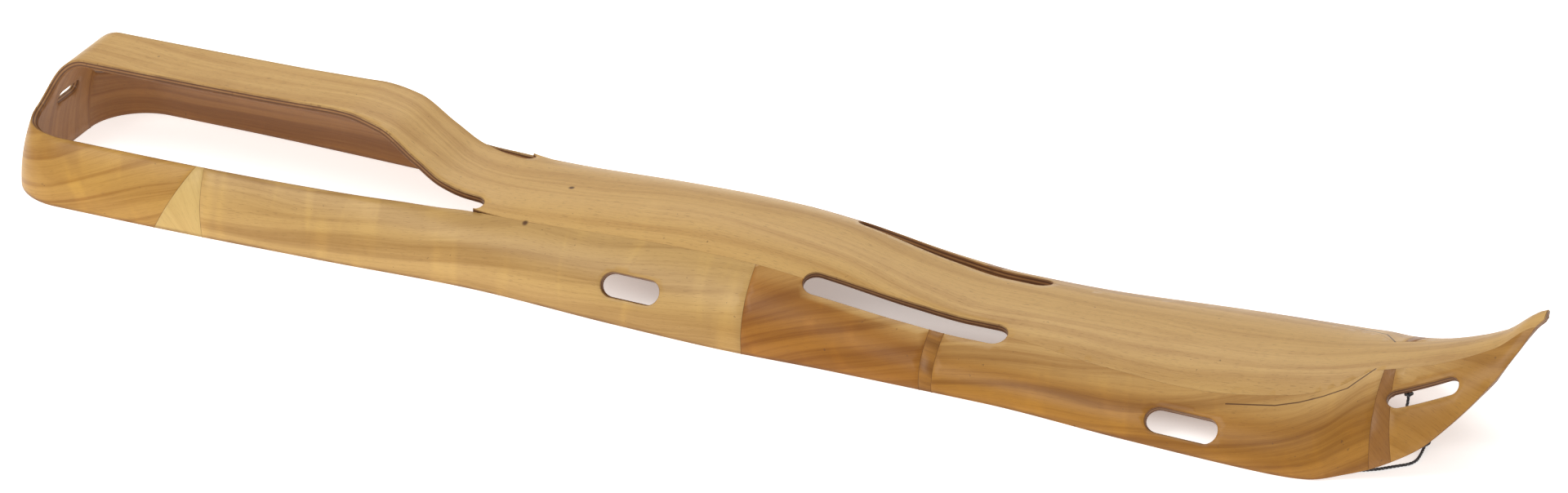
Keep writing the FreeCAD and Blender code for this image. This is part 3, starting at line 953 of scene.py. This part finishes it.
@dataclass(frozen=True)
class CordFinish:
    """Dull dark twisted cord."""

    name: str = "dark_cord"
    dark: Tuple[float, float, float] = (0.03, 0.03, 0.033)
    dusty: Tuple[float, float, float] = (0.17, 0.17, 0.18)

    def material(self) -> bpy.types.Material:
        """Builds the material."""
        made = bpy.data.materials.new(self.name)
        made.use_nodes = True
        made.node_tree.nodes.clear()
        tree = Tree(made.node_tree)
        place = tree.add("ShaderNodeTexCoord").outputs["Object"]
        dust = tree.span(tree.noise(place, 900.0, 3.0, 0.6), 0.4, 0.7)
        fuzz = tree.noise(place, 5200.0, 2.0, 0.6)
        shader = tree.add("ShaderNodeBsdfPrincipled")
        tree.join(tree.mix(dust, (*self.dark, 1.0), (*self.dusty, 1.0)),
                  shader.inputs["Base Color"])
        tree.join(tree.sum("MULTIPLY_ADD", fuzz, 0.3, 0.55), shader.inputs["Roughness"])
        bump = tree.add("ShaderNodeBump")
        bump.inputs["Distance"].default_value = 0.0001
        tree.join(fuzz, bump.inputs["Height"])
        tree.join(bump.outputs[0], shader.inputs["Normal"])
        out = tree.add("ShaderNodeOutputMaterial")
        tree.join(shader.outputs[0], out.inputs["Surface"])
        return made


# ---- sub-assemblies ----------------------------------------------------------------------------
@dataclass
class Dresser:
    """Gives finished pieces their finish and body, and hides the CAD nodes they replace."""

    figure: bpy.types.NodeTree
    wear: bpy.types.NodeTree
    made: Dict[str, bpy.types.Material] = field(default_factory=dict)

    def dress(self, obj: bpy.types.Object, finish: VeneerFinish, slot: str,
              *nodes: str) -> None:
        """Finishes one veneer and reports it."""
        if finish.name not in self.made:
            self.made[finish.name] = finish.material(self.figure, self.wear)
        obj.data.materials.append(self.made[finish.name])
        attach(obj, "root")
        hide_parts(*nodes)
        LOG.info("%s: %d faces", obj.name, len(obj.data.polygons))


PLY_FINISH = {Ply.CROSS_A: (CROSS, "cross_veneer"), Ply.CORE: (CORE, "core_veneer"),
              Ply.CROSS_B: (CROSS, "cross_veneer"), Ply.LINING: (LINING, "lining_veneer")}
SOFT_EDGE = {Ply.FACE: (0.42, 0.0), Ply.CROSS_A: (0.0, 0.0), Ply.CORE: (0.0, 0.0),
             Ply.CROSS_B: (0.0, 0.0), Ply.LINING: (0.0, 0.42)}


@dataclass
class Back:
    """End wall, middle strap and back as one run of veneers."""

    form: Form
    dresser: Dresser
    slot_length: float = 28.0
    slot_width: float = 9.0
    slot_height: float = 46.5
    step: float = 2.5

    def heel_end(self, y: float) -> float:
        """Where the back is cut at the heel, at distance y from the middle."""
        form = self.form
        low, high = 500.0, form.half
        for _ in range(40):
            mid = (low + high) / 2.0
            if form.section_height(mid, y) > through(form.heel_rim, mid):
                low = mid
            else:
                high = mid
        return low

    def outline(self) -> List[Flat]:
        """Edge of the back's flat pattern."""
        form = self.form
        first = form.end_path(form.foot)
        limit = self.heel_end(10.0) - form.strap_start
        rows = [first + (limit - first) * i / 620 for i in range(621)]
        upper = [(u, form.back_half(u)) for u in rows]
        tip_half = upper[-1][1]
        heel = []
        for i in range(1, 16):
            y = tip_half * (1.0 - 2.0 * i / 16)
            heel.append((self.heel_end(y) - form.strap_start, y))
        lower = [(u, -y) for u, y in reversed(upper)]
        foot = [(first, -form.corner_y + 2.0 * form.corner_y * i / 28) for i in range(1, 28)]
        return upper + heel + lower + foot

    def long_opening(self, sign: float) -> List[Flat]:
        """Edge of a long opening beside the strap."""
        form = self.form
        loop: List[Flat] = []
        top = form.rail_top + form.fillet
        for i in range(25):
            t = math.pi / 2.0 * i / 24
            y = form.spine_half + form.fillet * (1.0 - math.cos(t))
            z = top - form.fillet * math.sin(t)
            loop.append((form.end_path(z), y))
        loop.append((form.end_path(form.rail_top), 70.0))
        tip = form.tip_x - form.strap_start
        inner = through(form.strap_half, form.tip_x)
        outer = form.waist_seam + 0.5
        r = (outer - inner) / 2.0
        loop.append((-240.0 - form.strap_start, 70.0))
        loop += [(tip - r + r * math.sin(math.pi * i / 20),
                  (outer + inner) / 2.0 + r * math.cos(math.pi * i / 20))
                 for i in range(21)]
        loop += [(x - form.strap_start, through(form.strap_half, x))
                 for x in range(-195, -310, -5)]
        loop.append((form.end_path(top), form.spine_half))
        loop = spaced(loop, self.step)[:-1]
        return [(u, sign * y) for u, y in loop]

    def end_slot(self) -> List[Flat]:
        """Edge of the slot in the end wall."""
        u = self.form.end_path(self.slot_height)
        r = self.slot_width / 2.0
        run = self.slot_length / 2.0 - r
        loop: List[Flat] = []
        for end in (1.0, -1.0):
            for i in range(13):
                t = -math.pi / 2.0 + math.pi * i / 12
                loop.append((u - end * r * math.sin(t), end * (run + r * math.cos(t))))
        return loop

    def pattern(self) -> Pattern:
        """The back's flat pattern, cut and placed."""
        form = self.form
        holes = [self.long_opening(1.0), self.long_opening(-1.0), self.end_slot()]
        for slot in SLOTS:
            if slot.name not in ("knee", "heel"):
                continue
            edge = slot.outline(form)
            for sign in (1.0, -1.0):
                holes.append([(p.x - form.strap_start, sign * p.y) for p in edge])
        pat = Pattern(form.back, self.outline(), holes)
        pat.cut()
        pat.settle(lambda p: Vector((-1.0, 0.0, 2.0)))
        return pat

    def is_joint(self, mid: Flat) -> bool:
        """True on the long seams to the side veneers."""
        return abs(abs(mid[1]) - self.form.back_half(mid[0])) < 0.12

    def build(self) -> None:
        """Builds the five plies of the back."""
        maker = SheetMaker(self.pattern(), self.is_joint)
        for ply in Ply:
            node = ply.name.lower() + "_back"
            soft = SOFT_EDGE[ply]
            obj = maker.build("v_" + node, None, self.form.depth_range(ply), *soft)
            finish, slot = PLY_FINISH.get(ply, (BACK, "face_veneer"))
            lengths = ("end", "strap", "neck", "knee", "heel")
            nodes = ["core_" + part for part in lengths] if ply is Ply.CORE else [node]
            self.dresser.dress(obj, finish, slot, *nodes)


@dataclass
class Flank:
    """One side: corner, rail, side wall and heel, in spliced face veneers."""

    form: Form
    dresser: Dresser
    joints: Tuple[Tuple[str, float, float], ...] = (
        ("insert", -410.0, -386.0), ("thigh", -373.0, -380.0), ("calf", 26.0, 20.0),
        ("strip", 149.0, 143.0), ("foot", 157.5, 153.0), ("gore", 448.0, 438.0),
        ("toe", 462.0, 445.0))

    def flat(self, x: float) -> float:
        """Path length u of the side at x."""
        return x - self.form.corner_x

    def outline(self) -> List[Flat]:
        """Edge of the side's flat pattern, from the end seam round to the heel."""
        form = self.form
        first = -form.corner_run
        heel = self.flat(531.0)
        rows = [first + (heel - first) * i / 520 for i in range(521)]
        lower: List[Flat] = []
        upper: List[Flat] = []
        for u in rows:
            z = form.foot
            if u > 0.0:
                z = max(z, through(form.heel_rim, form.corner_x + u))
            v = form.side_v(u, z)
            if v >= form.side_girth - 0.3:
                break
            lower.append((u, v))
            upper.append((u, form.side_girth))
        left = [(first, form.side_girth * i / 24 + lower[0][1] * (1 - i / 24))
                for i in range(23, 0, -1)]
        return lower + list(reversed(upper)) + left

    def pattern(self) -> Pattern:
        """The side's flat pattern, cut and placed."""
        form = self.form
        holes = []
        for slot in SLOTS:
            edge = slot.outline(form)
            holes.append([(self.flat(p.x), form.side_v(self.flat(p.x), p.z)) for p in edge])
        lines = [((self.flat(low), 0.0), (self.flat(high), form.side_girth))
                 for _, low, high in self.joints]
        pat = Pattern(form.side, self.outline(), holes, lines)
        pat.cut()
        pat.settle(lambda p: Vector((-1.0 if p.x < form.corner_x else 0.0, 1.0, 0.3)))
        return pat

    def is_joint(self, mid: Flat) -> bool:
        """True on the shoulder seam and the end seam."""
        u, v = mid
        if u < -self.form.corner_run + 0.05:
            return True
        on_top = v > self.form.side_girth - 0.05
        return on_top and u > self.flat(self.form.tip_x + 1.0)

    def build(self) -> None:
        """Builds the plies of both sides from one pattern."""
        pat = self.pattern()
        face = (RAIL, PALE, THIGH, CALF, STRIP, FOOT, GORE, TOE)
        names = ("rail",) + tuple(j[0] for j in self.joints)
        for side in Side:
            maker = SheetMaker(pat, self.is_joint, side)
            tag = side.name.lower()
            for i, (name, finish) in enumerate(zip(names, face)):
                node = "face_%s_%s" % (name, tag)
                obj = maker.build("v_" + node, i, self.form.depth_range(Ply.FACE),
                                  *SOFT_EDGE[Ply.FACE])
                slot = "pale_veneer" if name == "insert" else "face_veneer"
                self.dresser.dress(obj, finish, slot, node)
            for ply, (finish, slot) in PLY_FINISH.items():
                node = "%s_side_%s" % (ply.name.lower(), tag)
                obj = maker.build("v_" + node, None, self.form.depth_range(ply),
                                  *SOFT_EDGE[ply])
                self.dresser.dress(obj, finish, slot, node)


@dataclass
class FrayedEnd:
    """Loose fibres that spread from a cut cord end."""

    fibres: int = 22
    length: float = 3.4
    thickness: float = 0.10
    spread: float = 0.45
    seed: int = 7

    def tree(self) -> bpy.types.NodeTree:
        """Builds the fibre tree with its named inputs."""
        made = bpy.data.node_groups.new("frayed_end", "GeometryNodeTree")
        made.interface.new_socket(name="Geometry", in_out="OUTPUT",
                                  socket_type="NodeSocketGeometry")
        for label, kind in (("Fibres", "NodeSocketInt"), ("Length", "NodeSocketFloat"),
                            ("Thickness", "NodeSocketFloat"), ("Spread", "NodeSocketFloat")):
            made.interface.new_socket(name=label, in_out="INPUT", socket_type=kind)
        tree = Tree(made)
        given = tree.add("NodeGroupInput").outputs
        middle = tree.add("ShaderNodeCombineXYZ")
        tree.join(tree.sum("MULTIPLY", given["Length"], 0.5), middle.inputs[2])
        tip = tree.add("ShaderNodeCombineXYZ")
        tree.join(tree.sum("MULTIPLY", given["Length"], given["Spread"]), tip.inputs[0])
        tree.join(given["Length"], tip.inputs[2])
        bow = tree.add("GeometryNodeCurveQuadraticBezier")
        bow.inputs["Resolution"].default_value = 5
        bow.inputs["Start"].default_value = (0.0, 0.0, 0.0)
        tree.join(middle.outputs[0], bow.inputs["Middle"])
        tree.join(tip.outputs[0], bow.inputs["End"])
        ring = tree.add("GeometryNodeCurvePrimitiveCircle")
        ring.inputs["Resolution"].default_value = 5
        tree.join(given["Thickness"], ring.inputs["Radius"])
        fibre = tree.add("GeometryNodeCurveToMesh")
        fibre.inputs["Fill Caps"].default_value = True
        tree.join(bow.outputs[0], fibre.inputs[0])
        tree.join(ring.outputs[0], fibre.inputs[1])
        roots = tree.add("GeometryNodePoints")
        tree.join(given["Fibres"], roots.inputs["Count"])
        tree.join(self.scatter(tree, (-0.0006,) * 3, (0.0006,) * 3, 0), roots.inputs["Position"])
        planted = tree.add("GeometryNodeInstanceOnPoints")
        tree.join(roots.outputs[0], planted.inputs["Points"])
        tree.join(fibre.outputs[0], planted.inputs["Instance"])
        tree.join(self.scatter(tree, (-0.3, -0.3, 0.0), (0.3, 0.3, 6.28), 1),
                  planted.inputs["Rotation"])
        tree.join(self.scatter(tree, (0.6, 0.6, 0.5), (1.2, 1.2, 1.2), 2),
                  planted.inputs["Scale"])
        real = tree.add("GeometryNodeRealizeInstances")
        tree.join(planted.outputs[0], real.inputs[0])
        dyed = tree.add("GeometryNodeSetMaterial")
        dyed.inputs["Material"].default_value = bpy.data.materials[CordFinish.name]
        tree.join(real.outputs[0], dyed.inputs[0])
        tree.join(dyed.outputs[0], tree.add("NodeGroupOutput").inputs[0])
        return made

    def scatter(self, tree: "Tree", low: Tuple[float, ...], high: Tuple[float, ...],
                step: int) -> bpy.types.NodeSocket:
        """A random vector between two corners, with its own fixed seed."""
        node = tree.add("FunctionNodeRandomValue", data_type="FLOAT_VECTOR")
        node.inputs[0].default_value = low
        node.inputs[1].default_value = high
        node.inputs["Seed"].default_value = self.seed + step
        return node.outputs[0]

    def build(self, name: str, root: Vector, ahead: Vector) -> bpy.types.Object:
        """Makes the fibres as one plain mesh.

        Args:
            name: Object name.
            root: Where the fibres leave the cord, in metres.
            ahead: The way the cord ends.

        Returns:
            The new object.
        """
        group = bpy.data.node_groups.get("frayed_end") or self.tree()
        holder = bpy.data.objects.new(name + "_maker", bpy.data.meshes.new(name + "_maker"))
        bpy.context.scene.collection.objects.link(holder)
        step = holder.modifiers.new("fibres", "NODES")
        step.node_group = group
        sizes = {"Fibres": self.fibres, "Length": self.length * MM,
                 "Thickness": self.thickness * MM, "Spread": self.spread}
        for item in group.interface.items_tree:
            if item.item_type == "SOCKET" and item.name in sizes:
                step[item.identifier] = sizes[item.name]
        seen = holder.evaluated_get(bpy.context.evaluated_depsgraph_get())
        mesh = bpy.data.meshes.new_from_object(seen)
        bpy.data.objects.remove(holder)
        turn = ahead.to_track_quat("Z", "Y").to_matrix().to_4x4()
        turn.translation = root
        mesh.transform(turn)
        mesh.name = name
        obj = bpy.data.objects.new(name, mesh)
        bpy.context.scene.collection.objects.link(obj)
        return obj


@dataclass
class Cord:
    """The loose twisted cord under the heel, knotted and frayed at both ends."""

    radius: float = 1.0
    strands: int = 3
    lay: float = 7.5
    route: Tuple[Tuple[float, float, float], ...] = (
        (457.2, -30.0, 45.5), (458.5, -32.0, 34.0), (452.0, -37.0, 22.0), (443.0, -44.0, 10.0),
        (431.0, -47.0, 3.5), (425.0, -57.0, 1.1), (434.0, -66.0, 1.1), (448.0, -58.0, 1.1),
        (457.0, -49.5, 1.1), (467.0, -41.0, 1.1), (467.5, -28.0, 1.3), (466.5, -14.0, 4.1))

    def centreline(self) -> List[Vector]:
        """Points read from the route's smooth spline, in metres."""
        curve = bpy.data.curves.new("cord_route", "CURVE")
        curve.dimensions = "3D"
        curve.resolution_u = 24
        spline = curve.splines.new("NURBS")
        spline.points.add(len(self.route) - 1)
        for point, place in zip(spline.points, self.route):
            point.co = (*(Vector(place) * MM), 1.0)
        spline.order_u = 3
        spline.use_endpoint_u = True
        holder = bpy.data.objects.new("cord_route", curve)
        bpy.context.scene.collection.objects.link(holder)
        line = bpy.data.meshes.new_from_object(holder)
        points = [v.co.copy() for v in line.vertices]
        bpy.data.objects.remove(holder)
        bpy.data.meshes.remove(line)
        return points

    def tube(self, name: str, paths: Sequence[Sequence[Vector]], radius: float,
             sides: int = 7) -> bpy.types.Object:
        """Closed round tubes along paths, as one mesh object.

        Args:
            name: Object name.
            paths: Lists of points in metres.
            radius: Tube radius in metres.
            sides: Sides of the tube.

        Returns:
            The new object.
        """
        verts: List[Vector] = []
        faces: List[Tuple[int, ...]] = []
        for path in paths:
            first = len(verts)
            frame = Vector((0.0, 0.0, 1.0))
            for i, p in enumerate(path):
                ahead = path[min(i + 1, len(path) - 1)] - path[max(i - 1, 0)]
                ahead.normalize()
                frame = frame - ahead * frame.dot(ahead)
                if frame.length < 1e-4:
                    frame = ahead.orthogonal()
                frame.normalize()
                across = ahead.cross(frame)
                for k in range(sides):
                    t = 2.0 * math.pi * k / sides
                    verts.append(p + (frame * math.cos(t) + across * math.sin(t)) * radius)
            for i in range(len(path) - 1):
                for k in range(sides):
                    a = first + i * sides + k
                    b = first + i * sides + (k + 1) % sides
                    faces.append((a, b, b + sides, a + sides))
            faces.append(tuple(reversed(range(first, first + sides))))
            last = first + (len(path) - 1) * sides
            faces.append(tuple(range(last, last + sides)))
        mesh = bpy.data.meshes.new(name)
        mesh.from_pydata(verts, [], faces)
        for poly in mesh.polygons:
            poly.use_smooth = True
        obj = bpy.data.objects.new(name, mesh)
        bpy.context.scene.collection.objects.link(obj)
        return obj

    def twisted(self, line: Sequence[Vector]) -> List[List[Vector]]:
        """Helical strands round a centreline."""
        strand_r = self.radius * MM * 0.50
        offset = self.radius * MM - strand_r
        dense: List[Vector] = []
        for a, b in zip(line, line[1:]):
            n = max(1, int((b - a).length / (0.45 * MM)))
            dense += [a.lerp(b, i / n) for i in range(n)]
        dense.append(line[-1])
        paths: List[List[Vector]] = [[] for _ in range(self.strands)]
        frame = Vector((0.0, 0.0, 1.0))
        run = 0.0
        for i, p in enumerate(dense):
            ahead = dense[min(i + 1, len(dense) - 1)] - dense[max(i - 1, 0)]
            ahead.normalize()
            frame = (frame - ahead * frame.dot(ahead)).normalized()
            across = ahead.cross(frame)
            if i:
                run += (p - dense[i - 1]).length
            for k in range(self.strands):
                t = 2.0 * math.pi * (run / (self.lay * MM) + k / self.strands)
                paths[k].append(p + (frame * math.cos(t) + across * math.sin(t)) * offset)
        return paths

    def knot(self, name: str, end: Vector, inner: Vector
             ) -> Tuple[bpy.types.Object, bpy.types.Object]:
        """An overhand knot at a cord end, and its frayed fibres.

        Args:
            name: Object name of the knot.
            end: The cord's end, in metres.
            inner: A point further in along the cord.

        Returns:
            The knot and its fibres.
        """
        ahead = (end - inner).normalized()
        up = Vector((0.0, 0.0, 1.0))
        side = ahead.cross(up)
        if side.length < 0.3:
            side = ahead.cross(Vector((0.0, 1.0, 0.0)))
        side.normalize()
        up = side.cross(ahead)
        centre = end - ahead * 2.6 * MM
        size = 0.82 * MM
        loop: List[Vector] = []
        for i in range(73):
            t = 2.0 * math.pi * i / 72
            p = (math.sin(t) + 2.0 * math.sin(2.0 * t), math.cos(t) - 2.0 * math.cos(2.0 * t),
                 -math.sin(3.0 * t))
            loop.append(centre + (side * p[0] + up * p[1]) * size + ahead * p[2] * size * 1.1)
        knot = self.tube(name, [loop], 0.78 * MM)
        hairs = FrayedEnd().build(name + "_fray", end - ahead * 1.2 * MM, ahead)
        return knot, hairs

    def build(self) -> None:
        finish = CordFinish().material()
        line = self.centreline()
        body = self.tube("cord_twist", self.twisted(line), self.radius * MM * 0.52)
        low, low_fray = self.knot("knot_low", line[-1], line[-4])
        top, top_fray = self.knot("knot_top", line[0], line[3])
        extras = [low_fray, top_fray]
        for obj, node in ((body, "cord"), (low, "cord_knot_low"), (top, "cord_knot_top")):
            obj.data.materials.append(finish)
            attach(obj, "root")
            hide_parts(node)
        for obj in extras:
            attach(obj, "root")


@dataclass
class Studio:
    """White table, soft light and the camera."""

    floor_size: float = 14.0
    eye: Tuple[float, float, float] = (1.2949, -2.8378, 1.6424)
    aim: Tuple[float, float, float] = (0.0198, 0.0, 0.0389)
    lens: float = 122.89
    # Centre, soft edge and strength of the painted shade: the floor glows less under the shell.
    shade_centre: Tuple[float, float, float] = (0.17, 0.0, 0.0)
    shade_edge: Tuple[float, float] = (0.045, 0.075)
    shaded_glow: float = 0.32
    open_glow: float = 0.70

    def build(self) -> None:
        """Builds floor, world, lights and camera."""
        self._floor()
        self._world()
        self._soft_box("key", (-1.3, -1.3, 2.2), (-0.1, 0.0, 0.0), 1.6, 1.2, 29.0)
        self._soft_box("fill", (2.2, -2.0, 1.3), (0.1, 0.0, 0.05), 1.8, 1.4, 4.0)
        self._soft_box("back", (-0.3, 2.0, 1.9), (0.0, 0.0, 0.05), 2.6, 0.9, 15.0)
        self._camera()
        scene = bpy.context.scene
        scene.view_settings.view_transform = "Standard"
        scene.view_settings.exposure = 0.0

    def _floor(self) -> None:
        """Plain white floor under the rim."""
        half = self.floor_size / 2.0
        mesh = bpy.data.meshes.new("floor")
        mesh.from_pydata([(-half, -half, 0.0), (half, -half, 0.0), (half, half, 0.0),
                          (-half, half, 0.0)], [], [(0, 1, 2, 3)])
        floor = bpy.data.objects.new("floor", mesh)
        bpy.context.scene.collection.objects.link(floor)
        mesh.materials.append(self._floor_paint())

    def _floor_paint(self) -> bpy.types.Material:
        """White paint with an even glow, turned down on the ground under the shell as painted shade.
        """
        paint = bpy.data.materials.new("floor_white")
        paint.use_nodes = True
        shader = paint.node_tree.nodes["Principled BSDF"]
        shader.inputs["Base Color"].default_value = (0.93, 0.93, 0.93, 1.0)
        shader.inputs["Roughness"].default_value = 0.8
        shader.inputs["Specular IOR Level"].default_value = 0.1
        shader.inputs["Emission Color"].default_value = (1.0, 0.98, 0.96, 1.0)
        tree = Tree(paint.node_tree)
        place = tree.add("ShaderNodeTexCoord").outputs["Object"]
        away = tree.add("ShaderNodeVectorMath", operation="LENGTH")
        off = tree.add("ShaderNodeVectorMath", operation="SUBTRACT")
        tree.join(place, off.inputs[0])
        off.inputs[1].default_value = self.shade_centre
        tree.join(tree.stretch(off.outputs[0], (0.2, 1.0, 1.0)), away.inputs[0])
        # Painted shade: the glow drops under the shell, a painted shadow beneath it.
        glow = tree.span(away.outputs["Value"], *self.shade_edge, self.shaded_glow, self.open_glow)
        tree.join(glow, shader.inputs["Emission Strength"])
        return paint

    def _world(self) -> None:
        """Even white surroundings."""
        world = bpy.data.worlds.new("studio")
        world.use_nodes = True
        shade = world.node_tree.nodes["Background"]
        shade.inputs["Color"].default_value = (1.0, 0.99, 0.975, 1.0)
        shade.inputs["Strength"].default_value = 0.50
        bpy.context.scene.world = world

    def _soft_box(self, name: str, place: Tuple[float, float, float],
                  aim: Tuple[float, float, float], wide: float, high: float,
                  power: float) -> None:
        """One rectangular area light.

        Args:
            name: Light name.
            place: Position in metres.
            aim: Point it faces.
            wide: Width in metres.
            high: Height in metres.
            power: Power in watts.
        """
        light = bpy.data.lights.new(name, "AREA")
        light.shape = "RECTANGLE"
        light.size = wide
        light.size_y = high
        light.energy = power
        obj = bpy.data.objects.new(name, light)
        obj.location = place
        obj.rotation_euler = (Vector(aim) - Vector(place)).to_track_quat("-Z", "Y").to_euler()
        bpy.context.scene.collection.objects.link(obj)

    def _camera(self) -> None:
        """The camera, well back with a long lens."""
        data = bpy.data.cameras.new("camera")
        data.lens = self.lens
        data.sensor_width = 36.0
        data.clip_end = 50.0
        camera = bpy.data.objects.new("camera", data)
        camera.location = self.eye
        look = Vector(self.aim) - Vector(self.eye)
        camera.rotation_euler = look.to_track_quat("-Z", "Y").to_euler()
        bpy.context.scene.collection.objects.link(camera)
        bpy.context.scene.camera = camera


def main() -> None:
    """Loads the frame and builds every part of the scene in order."""
    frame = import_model()
    LOG.info("frame has %d nodes", len(frame["nodes"]))
    form = Form()
    dresser = Dresser(veneer_group(), wear_group())
    Back(form, dresser).build()
    Flank(form, dresser).build()
    Cord().build()
    Studio().build()


if __name__ == "__main__":
    main()
